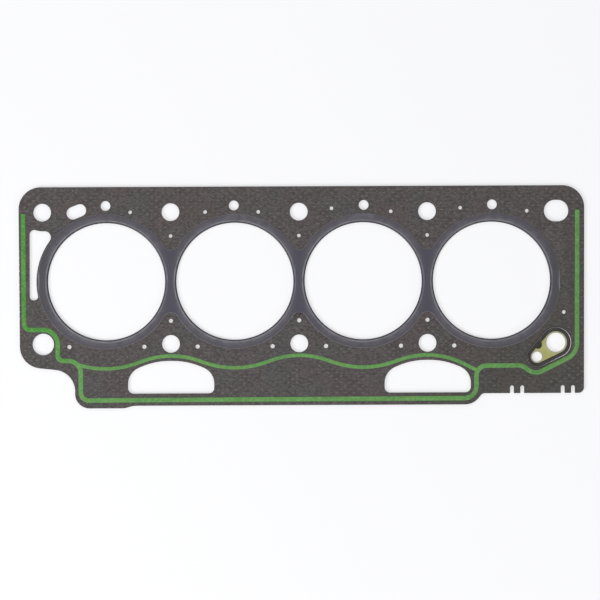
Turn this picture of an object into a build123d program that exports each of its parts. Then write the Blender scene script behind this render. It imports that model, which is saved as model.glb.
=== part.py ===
from build123d import *
import os
from math import acos, atan2, cos, hypot, radians, sin, tan

# Cylinder head gasket of a four-cylinder in-line engine, soft-faced over a steel core.
# Lengths are in millimetres. X runs along the bore row, Y across it, and Z up from the
# cylinder block to the cylinder head. The origin is the centre of the bore row, on the
# face that lies on the block. All three sheets share one outline and one set of holes.

# Bores, with the width of the bridge left between two of them
bore_count = 4
bore_r = 40.6
bridge_w = 7.8

# Thicknesses of the sheets, and how far flange and bead stand out of the facing
core_t = 0.30
facing_t = 0.50
flange_t = 0.20
flange_seat = 0.05
crest_rise = 0.05
bead_rise = 0.15

# Rows of head bolt holes, one hole at each bridge and at both ends, outside the bores
upper_row_out = 7.5
lower_row_out = 2.7
bolt_hole_r = 6.15
dowel_hole_r = 7.45
dowel_inboard = 0.4
oblong_r = 7.45
oblong_stretch = 2.1
oblong_outboard = 0.55

# Outer edge: margins from the corner bolt holes, the step from the first bore
left_upper_margin = 16.4
left_lower_margin = 15.7
right_upper_margin = 20.1
right_lower_margin = 19.3
top_margin = 17.6
end_corner_r = 15.2
lobe_drop = 15.3
heel_inset = 4.0
heel_drop = 17.2
heel_r = 20.0
step_outset = 21.2
step_drop = 19.4
step_r = 15.0
shelf_drop = 35.1
shelf_corner_r = 3.9
shelf_blend_r = 4.0

# Deep stretch of the lower edge, from the step to past the last bridge
pan_drop = 42.8
pan_lean = 1.6
pan_left_r = 10.1
pan_right_r = 12.0
pan_right_outset = 33.6
pan_right_lean = 3.5
toe_depth = 1.75
toe_length = 35.5
toe_ramp = 4.9
toe_outer_r = 12.0
toe_inner_r = 18.5

# Thickness marks cut into the right-hand lower edge, in two pairs
notch_w = 2.7
notch_depth = 5.3
notch_spacing = 7.1
notch_insets = (7.6, 42.8)

# Nicks where the left edge cuts through the perforations of the core
nick_r = 0.3
nick_pitch = 4.7
nick_count = 11
nick_middle_y = -2.0

# Windows over the wells, under the outermost bridges
window_half_w = 29.9
window_floor_drop = 34.4
window_shoulder_drop = 19.9
window_crown_drop = 11.8
window_crown_half_w = 11.8
window_crown_r = 50.0
window_shoulder_r = 11.8
window_floor_r = 3.9

# Tall slot at the left end, its inner side concentric with the first bore
slot_wall = 7.25
slot_top_drop = 11.1
slot_waist_drop = 12.9
slot_waist_run = 7.1
slot_waist_r = 17.0
slot_bottom_rise = 30.7
slot_ring_gap = 0.8
slot_outer_corner_r = 3.2
slot_inner_corner_share = 0.33
slot_foot_r = 2.4

# Slanted slot beside the first coolant hole
slant_outboard = 20.8
slant_rise = 0.5
slant_angle = 21.8
slant_r = 4.35
slant_stretch = 5.3

# Coolant holes, one above each bore
coolant_r = 3.4
coolant_rise = 4.5
coolant_outboard = 0.55

# Small metering holes: X is measured from the middle of each bore in turn
upper_jet_r = 1.25
upper_jets = ((16.5,), (-20.5, 16.4), (19.3,), (24.7,))
raised_jets = ((), (), (-21.8,), (-21.5,))
raised_jet_rise = 2.25
lower_jet_r = 1.45
lower_jet_drop = 1.9
lower_jet_spread = 26.0
bridge_upper_r = 1.2
bridge_upper_drop = 16.55
bridge_lower_r = 1.4
bridge_lower_rise = 16.0
end_jet_r = 1.25
end_jet_outboard = 5.6
end_jet_rise = 21.0

# Steel flange folded round the bores, in section and in plan
band_w = 6.0
end_band_shift = 1.0
end_band_extra = 0.2
web_r = 5.6
crest_flat = 0.55
crest_ramp = 0.6
fold_gap = 0.05
seat_gap = 0.05

# Thick printed bead along the edge: gaps run from the edge to the middle of the bead
thick_bead_w = 3.4
bead_left_gap = 3.4
bead_left_end_y = 47.1
bead_left_turn_r = 4.5
bead_dowel_r = 10.1
bead_lobe_drop = 11.5
bead_lobe_r = 4.0
bead_step_gap = 4.7
bead_step_r = 8.5
bead_pan_left_rise = 3.6
bead_pan_left_r = 5.5
bead_pan_right_rise = 4.1
bead_pan_right_r = 8.5
bead_riser_outset = 0.2
bead_riser_r = 7.0
bead_shelf_rise = 19.2
bead_dip_start = 9.7
bead_dip_start_r = 8.35
bead_dip_x = 2.4
bead_dip_drop = 13.1
bead_dip_r = 10.6
bead_right_gap = 5.3
bead_right_turn_drop = 7.7
bead_right_turn_r = 12.0
bead_right_end_y = 48.6

# Section of a printed bead: a steep foot, a sloping shoulder and a flat crown
bead_foot_w = 0.25
bead_foot_rise = 0.09
bead_shoulder_w = 0.75

# Thin printed bead that waves under the bores, as the corners of its zigzag
thin_bead_w = 2.7
wave_crest_drop = 5.4
wave_valley_drop = 20.4
wave_crest_r = 56.0
wave_valley_r = 63.0
wave_lead = 1.0
wave_start_angle = 17.2
wave_bend_r = 30.0
wave_end_angle = 26.4
wave_end_length = 14.2

# Oil port at the last lower bolt: plate with two holes, held in a moulded seal
port_hole_r = 6.6
port_wall = 1.15
port_small_r = 3.45
port_small_wall = 1.0
port_small_dx = -13.1
port_small_dy = -9.9
plate_t = 1.0
plate_grip = 0.6
rim_w = 0.9
rim_rise = 0.1
seal_w = 3.4
seal_gap = 0.05
seal_lobe_r = 2.9
seal_lobe_dx = -12.6
seal_lobe_dy = -1.5
lip_w = 0.7
lip_rise = 0.2
inner_lip_gap = 1.5
lip_spacing = 1.15
core_tongue = 0.8

# Heights worked out from the thicknesses
stand_out = flange_t - flange_seat
body_t = core_t + 2 * facing_t
middle_z = stand_out + body_t / 2
band_half_t = body_t / 2 + stand_out
crest_half_t = band_half_t + crest_rise

# Places worked out from the bores and the bolt rows
bore_pitch = 2 * bore_r + bridge_w
upper_row_y = bore_r + upper_row_out
lower_row_y = -bore_r - lower_row_out
bore_xs = [bore_pitch * (i - (bore_count - 1) / 2) for i in range(bore_count)]
bridge_xs = [bore_pitch * (i - (bore_count - 2) / 2) for i in range(bore_count - 1)]
end_x = bore_pitch * bore_count / 2
top_y = upper_row_y + top_margin
lobe_y = lower_row_y - lobe_drop
shelf_y = lower_row_y - shelf_drop
pan_y = lower_row_y - pan_drop
toe_y = pan_y - toe_depth
pan_left_x = bore_xs[0] - step_outset - pan_lean
pan_right_x = bridge_xs[-1] + pan_right_outset
dowel_x = dowel_inboard - end_x
band_r = bore_r + band_w
crest_end_r = bore_r + crest_half_t + crest_flat + crest_ramp


def left_edge_x(y):
    """The left edge leans a little, so its place depends on the height in plan."""
    share = (top_y - y) / (top_y - lobe_y)
    return -end_x - left_upper_margin + share * (left_upper_margin - left_lower_margin)


def right_edge_x(y):
    """The right edge leans a little the other way."""
    share = (top_y - y) / (top_y - shelf_y)
    return end_x + right_upper_margin - share * (right_upper_margin - right_lower_margin)


def rounded_face(corners):
    """Face whose corners are given as (x, y, radius)."""
    points = [(x, y) for x, y, radius in corners]
    radii = [radius for x, y, radius in corners]
    return make_face(FilletPolyline(*points, radius=radii, close=True).edges())


def rounded_path(start, corners, end):
    """Open line from start to end, rounded at corners given as (x, y, radius)."""
    points = [start] + [(x, y) for x, y, radius in corners] + [end]
    return FilletPolyline(*points, radius=[radius for x, y, radius in corners])


def slab(face, low, high):
    """Flat layer of a face between two heights."""
    return Pos(0, 0, low) * extrude(face, high - low)


def port_outline(extra):
    """Visible outline of the port plate grown by a margin: two arcs and their tangents."""
    large_r = port_hole_r + port_wall + extra
    small_r = port_small_r + port_small_wall + extra
    lean = atan2(port_small_dy, port_small_dx)
    spread = acos((large_r - small_r) / hypot(port_small_dx, port_small_dy))
    sides = []
    for angle in (lean + spread, lean - spread):
        tangent = (cos(angle), sin(angle))
        sides.append((large_r * tangent[0], large_r * tangent[1]))
        small_point = (small_r * tangent[0], small_r * tangent[1])
        sides.append((port_small_dx + small_point[0], port_small_dy + small_point[1]))
    far_side = (-large_r * cos(lean), -large_r * sin(lean))
    tip = (port_small_dx + small_r * cos(lean), port_small_dy + small_r * sin(lean))
    edges = [
        Line(sides[0], sides[1]),
        ThreePointArc(sides[1], tip, sides[3]),
        Line(sides[3], sides[2]),
        ThreePointArc(sides[2], far_side, sides[0]),
    ]
    return Pos(end_x, lower_row_y) * make_face(edges)


def port_discs(large_r, small_r):
    """Discs about the two holes of the port."""
    large = Pos(end_x, lower_row_y) * Circle(large_r)
    small = Pos(end_x + port_small_dx, lower_row_y + port_small_dy) * Circle(small_r)
    return [large, small]


def band_outline(extra):
    """Plan of the flange: a ring about each bore, run together across the bridges."""
    rings = [Pos(x, 0) * Circle(band_r + extra) for x in bore_xs]
    for x in (bore_xs[0] - end_band_shift, bore_xs[-1] + end_band_shift):
        rings.append(Pos(x, 0) * Circle(band_r + end_band_extra + extra))
    reach = band_r + web_r
    web_centre_y = (reach**2 - (bore_pitch / 2) ** 2) ** 0.5
    webs = []
    for x in bridge_xs:
        points = [(-bore_pitch / 2, 0), (0, web_centre_y), (bore_pitch / 2, 0), (0, -web_centre_y)]
        web = make_face(Polyline(*points, close=True).edges())
        for y in (web_centre_y, -web_centre_y):
            web -= Pos(0, y) * Circle(web_r - extra)
        webs.append(Pos(x, 0) * web)
    return Sketch() + rings + webs


def outer_outline():
    """Outline shared by the three sheets."""
    toe_end_x = pan_left_x + toe_length
    return rounded_face([
        (left_edge_x(top_y), top_y, end_corner_r),
        (left_edge_x(lobe_y), lobe_y, end_corner_r),
        (heel_inset - end_x, lower_row_y - heel_drop, heel_r),
        (bore_xs[0] - step_outset, lower_row_y - step_drop, step_r),
        (pan_left_x, toe_y, pan_left_r),
        (toe_end_x, toe_y, toe_outer_r),
        (toe_end_x + toe_ramp, pan_y, toe_inner_r),
        (pan_right_x, pan_y, pan_right_r),
        (pan_right_x + pan_right_lean, shelf_y, shelf_blend_r),
        (right_edge_x(shelf_y), shelf_y, shelf_corner_r),
        (right_edge_x(top_y), top_y, end_corner_r),
    ])


def edge_cuts():
    """Thickness marks in the lower edge and nicks in the left edge."""
    cuts = []
    straight = notch_depth - notch_w / 2
    for inset in notch_insets:
        for step in (0, notch_spacing):
            mark = Pos(0, straight) * Circle(notch_w / 2) + Rectangle(notch_w, 2 * straight)
            cuts.append(Pos(right_edge_x(shelf_y) - inset - step, shelf_y) * mark)
    for i in range(nick_count):
        y = nick_middle_y + nick_pitch * (i - (nick_count - 1) / 2)
        cuts.append(Pos(left_edge_x(y), y) * Circle(nick_r))
    return cuts


def bolt_holes():
    """Head bolt holes, the dowel hole and the oblong locating hole."""
    holes = [Pos(x, upper_row_y) * Circle(bolt_hole_r) for x in [-end_x] + bridge_xs]
    holes += [Pos(x, lower_row_y) * Circle(bolt_hole_r) for x in bridge_xs]
    holes.append(Pos(dowel_x, lower_row_y) * Circle(dowel_hole_r))
    oblong = SlotCenterToCenter(oblong_stretch, 2 * oblong_r)
    holes.append(Pos(end_x + oblong_outboard, upper_row_y) * oblong)
    return holes


def metering_holes():
    """Small holes round the bores."""
    holes = []
    for jets, y in ((upper_jets, upper_row_y), (raised_jets, upper_row_y + raised_jet_rise)):
        for x, offsets in zip(bore_xs, jets):
            holes += [Pos(x + offset, y) * Circle(upper_jet_r) for offset in offsets]
    lower_xs = [x + side * lower_jet_spread for x in bore_xs for side in (-1, 1)]
    for x in lower_xs[:-1]:
        holes.append(Pos(x, lower_row_y - lower_jet_drop) * Circle(lower_jet_r))
    for x in bridge_xs:
        holes.append(Pos(x, upper_row_y - bridge_upper_drop) * Circle(bridge_upper_r))
        holes.append(Pos(x, lower_row_y + bridge_lower_rise) * Circle(bridge_lower_r))
    end_jet = Pos(end_x + end_jet_outboard, lower_row_y + end_jet_rise)
    holes.append(end_jet * Circle(end_jet_r))
    return holes


def coolant_holes():
    """Round holes above the bores and the slanted slot at the left."""
    holes = []
    for x in bore_xs:
        side = 1 if x > 0 else -1
        place = Pos(x + side * coolant_outboard, upper_row_y + coolant_rise)
        holes.append(place * Circle(coolant_r))
    place = Pos(bore_xs[0] - slant_outboard, upper_row_y + slant_rise) * Rot(0, 0, slant_angle)
    holes.append(place * SlotCenterToCenter(slant_stretch, 2 * slant_r))
    return holes


def well_windows():
    """Windows over the two wells, each measured from the bolt hole above it."""
    window = rounded_face([
        (-window_half_w, -window_floor_drop, window_floor_r),
        (window_half_w, -window_floor_drop, window_floor_r),
        (window_half_w, -window_shoulder_drop, window_shoulder_r),
        (window_crown_half_w, -window_crown_drop, window_crown_r),
        (-window_crown_half_w, -window_crown_drop, window_crown_r),
        (-window_half_w, -window_shoulder_drop, window_shoulder_r),
    ])
    return [Pos(x, lower_row_y) * window for x in (bridge_xs[0], bridge_xs[-1])]


def tall_slot():
    """Slot between the left edge and the first ring of the flange."""
    slot_top_y = upper_row_y - slot_top_drop
    slot_waist_y = upper_row_y - slot_waist_drop
    slot_bottom_y = lower_row_y + slot_bottom_rise
    wall_x = left_edge_x((slot_top_y + slot_bottom_y) / 2) + slot_wall
    waist_x = wall_x + slot_waist_run
    ring_r = band_r + end_band_extra + end_band_shift + slot_ring_gap
    flat_top = bore_xs[0] - (ring_r**2 - slot_waist_y**2) ** 0.5 - waist_x
    blank = rounded_face([
        (wall_x, slot_bottom_y, slot_foot_r),
        (wall_x, slot_top_y, slot_outer_corner_r),
        (waist_x, slot_waist_y, slot_waist_r),
        (bore_xs[0], slot_waist_y, 0),
        (bore_xs[0], slot_bottom_y, 0),
    ])
    slot = blank - Pos(bore_xs[0], 0) * Circle(ring_r)
    inner_corner = slot.vertices().sort_by(Axis.X)[-1]
    slot = fillet(inner_corner, slot_inner_corner_share * flat_top)
    foot = slot.vertices().group_by(Axis.Y)[0].sort_by(Axis.X)[-1]
    return fillet(foot, slot_foot_r)


def sheet_outline(port_opening):
    """One punched sheet, with room for the folded edge of the flange in its bores."""
    edge_r = bore_r + crest_half_t + fold_gap
    cuts = edge_cuts() + bolt_holes() + metering_holes() + coolant_holes() + well_windows()
    cuts += [Pos(x, 0) * Circle(edge_r) for x in bore_xs]
    return outer_outline() - cuts - tall_slot() - port_outline(port_opening)


def make_core():
    """Steel sheet in the middle, its port opening smaller so that it holds the seal."""
    sheet = sheet_outline(seal_w - core_tongue)
    return Pos(0, 0, middle_z - core_t / 2) * extrude(sheet, core_t)


def make_upper_facing():
    """Soft facing on the head side, pressed in where the flange sits."""
    facing = extrude(sheet_outline(seal_w), facing_t)
    seat = extrude(band_outline(seat_gap), flange_seat)
    facing -= Pos(0, 0, facing_t - flange_seat) * seat
    return Pos(0, 0, middle_z + core_t / 2) * facing


def make_flange():
    """Steel flange: two flat bands joined by a raised and folded edge in each bore."""
    fold_r = crest_half_t
    nose_x = bore_r + fold_r
    crest_x = nose_x + crest_flat
    inner_r = fold_r - flange_t
    section = make_face([
        ThreePointArc((nose_x, -fold_r), (bore_r, 0), (nose_x, fold_r)),
        Polyline((nose_x, fold_r), (crest_x, fold_r), (crest_end_r, band_half_t)),
        Line((crest_end_r, band_half_t), (crest_end_r, band_half_t - flange_t)),
        Polyline((crest_end_r, band_half_t - flange_t), (crest_x, inner_r), (nose_x, inner_r)),
        ThreePointArc((nose_x, inner_r), (bore_r + flange_t, 0), (nose_x, -inner_r)),
        Polyline((nose_x, -inner_r), (crest_x, -inner_r), (crest_end_r, flange_t - band_half_t)),
        Line((crest_end_r, flange_t - band_half_t), (crest_end_r, -band_half_t)),
        Polyline((crest_end_r, -band_half_t), (crest_x, -fold_r), (nose_x, -fold_r)),
    ])
    folded_edge = revolve(Plane.XZ * section, Axis.Z)
    band = extrude(band_outline(0) - [Pos(x, 0) * Circle(crest_end_r) for x in bore_xs], flange_t)
    bands = [Pos(0, 0, band_half_t - flange_t) * band, Pos(0, 0, -band_half_t) * band]
    flange = Part() + bands + [Pos(x, 0) * folded_edge for x in bore_xs]
    return Pos(0, 0, middle_z) * flange


def along(path, section):
    """Ridge along a path, its section drawn with X across the path and Y up."""
    across = Vector(0, 0, 1).cross(path % 0)
    return sweep(Plane(path @ 0, x_dir=across, z_dir=path % 0) * section, path=path)


def dome_section(width, rise):
    """Low domed section of a moulded lip."""
    arc = ThreePointArc((-width / 2, 0), (0, rise), (width / 2, 0))
    return make_face([Line((-width / 2, 0), (width / 2, 0)), arc])


def print_along(path, width):
    """Printed bead along a path."""
    flank = [
        (width / 2 - bead_shoulder_w, bead_rise),
        (width / 2 - bead_foot_w, bead_foot_rise),
        (width / 2, 0),
    ]
    points = [(-x, y) for x, y in reversed(flank)] + flank
    return along(path, make_face(Polyline(*points, close=True).edges()))


def thick_route():
    """Route of the thick bead, from the left end, along the lower edge, to the right end."""
    turn_y = lower_row_y + bead_dowel_r
    step_x = pan_left_x + bead_step_gap
    lobe_line_y = lower_row_y - bead_lobe_drop
    riser_x = pan_right_x + bead_riser_outset
    shelf_line_y = shelf_y + bead_shelf_rise
    port_small_x = end_x + port_small_dx
    dip_y = lower_row_y + port_small_dy - bead_dip_drop
    right_turn_y = lower_row_y - bead_right_turn_drop
    start = (left_edge_x(bead_left_end_y) + bead_left_gap, bead_left_end_y)
    end = (right_edge_x(bead_right_end_y) - bead_right_gap, bead_right_end_y)
    corners = [
        (left_edge_x(turn_y) + bead_left_gap, turn_y, bead_left_turn_r),
        (dowel_x + bead_dowel_r, turn_y, bead_dowel_r),
        (dowel_x + bead_dowel_r, lobe_line_y, bead_lobe_r),
        (step_x, lobe_line_y, bead_step_r),
        (step_x, pan_y + bead_pan_left_rise, bead_pan_left_r),
        (riser_x, pan_y + bead_pan_right_rise, bead_pan_right_r),
        (riser_x, shelf_line_y, bead_riser_r),
        (port_small_x - bead_dip_start, shelf_line_y, bead_dip_start_r),
        (port_small_x - bead_dip_x, dip_y, bead_dip_r),
        (right_edge_x(right_turn_y) - bead_right_gap, right_turn_y, bead_right_turn_r),
    ]
    return rounded_path(start, corners, end)


def thin_route():
    """Route of the thin bead: a crest under each bridge, a valley under each bore."""
    valley_y = lower_row_y - wave_valley_drop
    crest_y = lower_row_y - wave_crest_drop
    slope = atan2(crest_y - valley_y, bore_pitch / 2)
    fall = radians(wave_start_angle)
    exit_fall = radians(wave_end_angle)
    corners = []
    for bore_x, bridge_x in zip(bore_xs, bridge_xs):
        corners.append((bore_x, valley_y, wave_valley_r))
        corners.append((bridge_x, crest_y, wave_crest_r))
    start_run = wave_valley_r * tan((slope + fall) / 2) + wave_lead
    start = (bore_xs[0] - start_run * cos(fall), valley_y + start_run * sin(fall))
    bend_run = wave_crest_r * tan(slope) + wave_lead
    bend_run += wave_bend_r * tan((exit_fall - slope) / 2)
    bend = (bridge_xs[-1] + bend_run * cos(slope), crest_y - bend_run * sin(slope))
    corners.append((*bend, wave_bend_r))
    end_run = wave_end_length + wave_bend_r * tan((exit_fall - slope) / 2)
    end = (bend[0] + end_run * cos(exit_fall), bend[1] - end_run * sin(exit_fall))
    return rounded_path(start, corners, end)


def make_upper_bead():
    """The whole print on the head side: the thick line and the thin line it feeds."""
    bead = print_along(thick_route(), thick_bead_w)
    bead += print_along(thin_route(), thin_bead_w)
    return Pos(0, 0, middle_z + body_t / 2) * bead


def lobe_disc(extra):
    """Lobe of the seal that reaches into the side of the port plate."""
    return Pos(end_x + seal_lobe_dx, lower_row_y + seal_lobe_dy) * Circle(seal_lobe_r + extra)


def make_port_plate():
    """Port plate with a coined rim on both faces round each hole."""
    blank = port_outline(plate_grip) - lobe_disc(seal_gap)
    plate = extrude(blank, plate_t / 2, both=True)
    for disc in port_discs(port_hole_r + rim_w, port_small_r + rim_w):
        plate += extrude(disc, plate_t / 2 + rim_rise, both=True)
    for disc in port_discs(port_hole_r, port_small_r):
        plate -= extrude(disc, plate_t, both=True)
    return Pos(0, 0, middle_z) * plate


def make_port_seal():
    """Moulded seal, grooved for the core outside and for the plate inside."""
    outer = port_outline(seal_w - seal_gap)
    neck = port_outline(seal_w - core_tongue - seal_gap)
    grip = port_outline(plate_grip + seal_gap) - lobe_disc(0)
    seen = port_outline(0) - lobe_disc(0)
    seal = slab(neck - grip, -core_t / 2, core_t / 2)
    flank = slab(outer - grip, core_t / 2, plate_t / 2)
    cheek = slab(outer - seen, plate_t / 2, body_t / 2)
    layers = [flank, cheek]
    for gap in (inner_lip_gap, inner_lip_gap + lip_spacing):
        lip = along(port_outline(gap).wire(), dome_section(lip_w, lip_rise))
        layers.append(Pos(0, 0, body_t / 2) * lip)
    for layer in layers:
        seal += layer
        seal += mirror(layer, Plane.XY)
    return Pos(0, 0, middle_z) * seal


def on_block_side(piece):
    """The same piece turned to the block side."""
    return mirror(piece, Plane.XY.offset(middle_z))


upper_facing = make_upper_facing()
upper_bead = make_upper_bead()
pieces = {
    "upper_facing": upper_facing,
    "steel_core": make_core(),
    "lower_facing": on_block_side(upper_facing),
    "bore_flange": make_flange(),
    "upper_bead": upper_bead,
    "lower_bead": on_block_side(upper_bead),
    "oil_port_plate": make_port_plate(),
    "oil_port_seal": make_port_seal(),
}

os.makedirs("parts", exist_ok=True)
for name, piece in pieces.items():
    export_step(piece, f"parts/{name}.step")
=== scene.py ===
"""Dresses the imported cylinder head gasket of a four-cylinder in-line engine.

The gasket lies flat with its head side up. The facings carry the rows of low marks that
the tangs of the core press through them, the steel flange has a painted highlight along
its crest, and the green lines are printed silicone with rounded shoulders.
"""
import logging
import math
from dataclasses import dataclass
from enum import Enum
from typing import Sequence

import bmesh
import bpy
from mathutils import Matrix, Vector


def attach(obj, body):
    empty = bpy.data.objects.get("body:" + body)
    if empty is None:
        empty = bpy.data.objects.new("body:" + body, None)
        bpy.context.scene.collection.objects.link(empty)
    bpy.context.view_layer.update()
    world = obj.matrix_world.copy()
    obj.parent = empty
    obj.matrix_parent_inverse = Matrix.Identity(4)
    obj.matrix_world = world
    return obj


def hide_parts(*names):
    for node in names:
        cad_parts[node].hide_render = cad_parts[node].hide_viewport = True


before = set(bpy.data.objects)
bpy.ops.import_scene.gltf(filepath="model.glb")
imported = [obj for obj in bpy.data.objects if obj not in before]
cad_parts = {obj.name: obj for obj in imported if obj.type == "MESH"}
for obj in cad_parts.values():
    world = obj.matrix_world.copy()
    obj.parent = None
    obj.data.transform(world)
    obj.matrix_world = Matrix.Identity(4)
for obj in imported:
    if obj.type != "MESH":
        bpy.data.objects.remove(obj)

LOG = logging.getLogger("gasket")
MM = 0.001
# middle of the stack, from the block face; both sides are mirrored about it
MIDDLE_MM = 0.8
# distance under which two places count as one
TOLERANCE_MM = 0.001
# angle under which two faces count as one flat face
FLAT_DEGREES = 0.5
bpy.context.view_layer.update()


class Side(Enum):
    """Side of the gasket that a printed line or a facing belongs to."""

    HEAD = "upper"
    BLOCK = "lower"


class Slot(Enum):
    """Material slots of the record, for the pieces that are made here."""

    FACING = "soft_facing"
    FLANGE = "flange_steel"
    PRINT = "green_silicone"
    PLATE = "passivated_steel"
    SEAL = "black_elastomer"


def linear(hex_colour: str) -> tuple[float, float, float, float]:
    """Turns an sRGB hex colour into Blender's linear colour.

    Args:
        hex_colour: Colour such as "#565352".

    Returns:
        Red, green, blue and alpha, linear, from 0 to 1.
    """
    digits = hex_colour.lstrip("#")
    parts = [int(digits[i : i + 2], 16) / 255 for i in (0, 2, 4)]
    # the two branches of the sRGB curve
    return (*[p / 12.92 if p <= 0.04045 else ((p + 0.055) / 1.055) ** 2.4 for p in parts], 1.0)


# Nodes and finishes


def add_node(
    tree: bpy.types.NodeTree, kind: str, inputs: dict[int | str, object], **settings: object
) -> bpy.types.NodeOutputs:
    """Adds one node to a material, with its settings, values and links.

    Args:
        tree: Node tree that gets the node.
        kind: Blender's type name of the node.
        inputs: Value or output socket for each input, by number or name.
        settings: Attributes of the node.

    Returns:
        The outputs of the new node.
    """
    node = tree.nodes.new(kind)
    for key, value in settings.items():
        setattr(node, key, value)
    for key, value in inputs.items():
        if isinstance(value, bpy.types.NodeSocket):
            tree.links.new(value, node.inputs[key])
        else:
            node.inputs[key].default_value = value
    return node.outputs


def scale_of(size_mm: float) -> float:
    """Scale of a pattern on Object coordinates whose real size is in millimetres."""
    return 1 / (size_mm * MM)


@dataclass(frozen=True)
class Fade:
    """Stretch of a value over which a finish goes from one look to the next."""

    start: float
    end: float
    most: float = 1.0
    least: float = 0.0

    def of(self, value: bpy.types.NodeSocket, unit: float = 1.0) -> dict[int | str, object]:
        """Gives the inputs of a Map Range node that follows a value over this stretch.

        Args:
            value: Socket that is followed.
            unit: MM where the stretch is in millimetres and the value in metres.

        Returns:
            Value or socket for each input of the node.
        """
        return {
            "Value": value,
            "From Min": self.start * unit,
            "From Max": self.end * unit,
            "To Min": self.least,
            "To Max": self.most,
        }

    def raised(self, by: float) -> "Fade":
        """Gives the same stretch with both of its outcomes raised."""
        return Fade(self.start, self.end, self.most + by, self.least + by)


@dataclass(frozen=True)
class Finish:
    """A procedural material: its name, its gloss and the pattern of its colour."""

    name: str
    roughness: float
    metallic: float = 0.0
    specular: float = 0.5

    def build(self) -> bpy.types.Material:
        """Makes the material or returns the one already made.

        Returns:
            The finished material.
        """
        found = bpy.data.materials.get(self.name)
        if found:
            return found
        material = bpy.data.materials.new(self.name)
        material.use_nodes = True
        tree = material.node_tree
        shader = tree.nodes["Principled BSDF"]
        shader.inputs["Metallic"].default_value = self.metallic
        shader.inputs["Roughness"].default_value = self.roughness
        if not self.metallic:
            shader.inputs["Specular IOR Level"].default_value = self.specular
        place = add_node(tree, "ShaderNodeTexCoord", {})["Object"]
        for name, socket in self.pattern(tree, place).items():
            tree.links.new(socket, shader.inputs[name])
        return material

    def pattern(
        self, tree: bpy.types.NodeTree, place: bpy.types.NodeSocket
    ) -> dict[str, bpy.types.NodeSocket]:
        """Adds the colour, roughness and relief of this finish.

        Args:
            tree: Node tree of the material.
            place: Object coordinates, in metres.

        Returns:
            Socket for each input of the shader that the pattern drives.
        """
        raise NotImplementedError

    @staticmethod
    def height(tree: bpy.types.NodeTree, place: bpy.types.NodeSocket) -> bpy.types.NodeSocket:
        """Adds the distance from the middle of the stack, which is alike on both faces.

        Args:
            tree: Node tree of the material.
            place: Object coordinates, in metres.

        Returns:
            The distance, in metres.
        """
        axes = add_node(tree, "ShaderNodeSeparateXYZ", {0: place})
        above = add_node(
            tree, "ShaderNodeMath", {0: axes["Z"], 1: MIDDLE_MM * MM}, operation="SUBTRACT"
        )[0]
        return add_node(tree, "ShaderNodeMath", {0: above}, operation="ABSOLUTE")[0]

    @staticmethod
    def layered(
        tree: bpy.types.NodeTree,
        under: str,
        layers: Sequence[tuple[str | bpy.types.NodeSocket, bpy.types.NodeSocket]],
    ) -> bpy.types.NodeSocket:
        """Lays colours over one another.

        Args:
            tree: Node tree of the material.
            under: The lowest colour.
            layers: Each further colour, with the share of it that shows.

        Returns:
            The colour that is seen.
        """
        seen = linear(under)
        for colour, share in layers:
            over = linear(colour) if isinstance(colour, str) else colour
            seen = add_node(
                tree, "ShaderNodeMix", {0: share, 6: seen, 7: over}, data_type="RGBA"
            )[2]
        return seen


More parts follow.
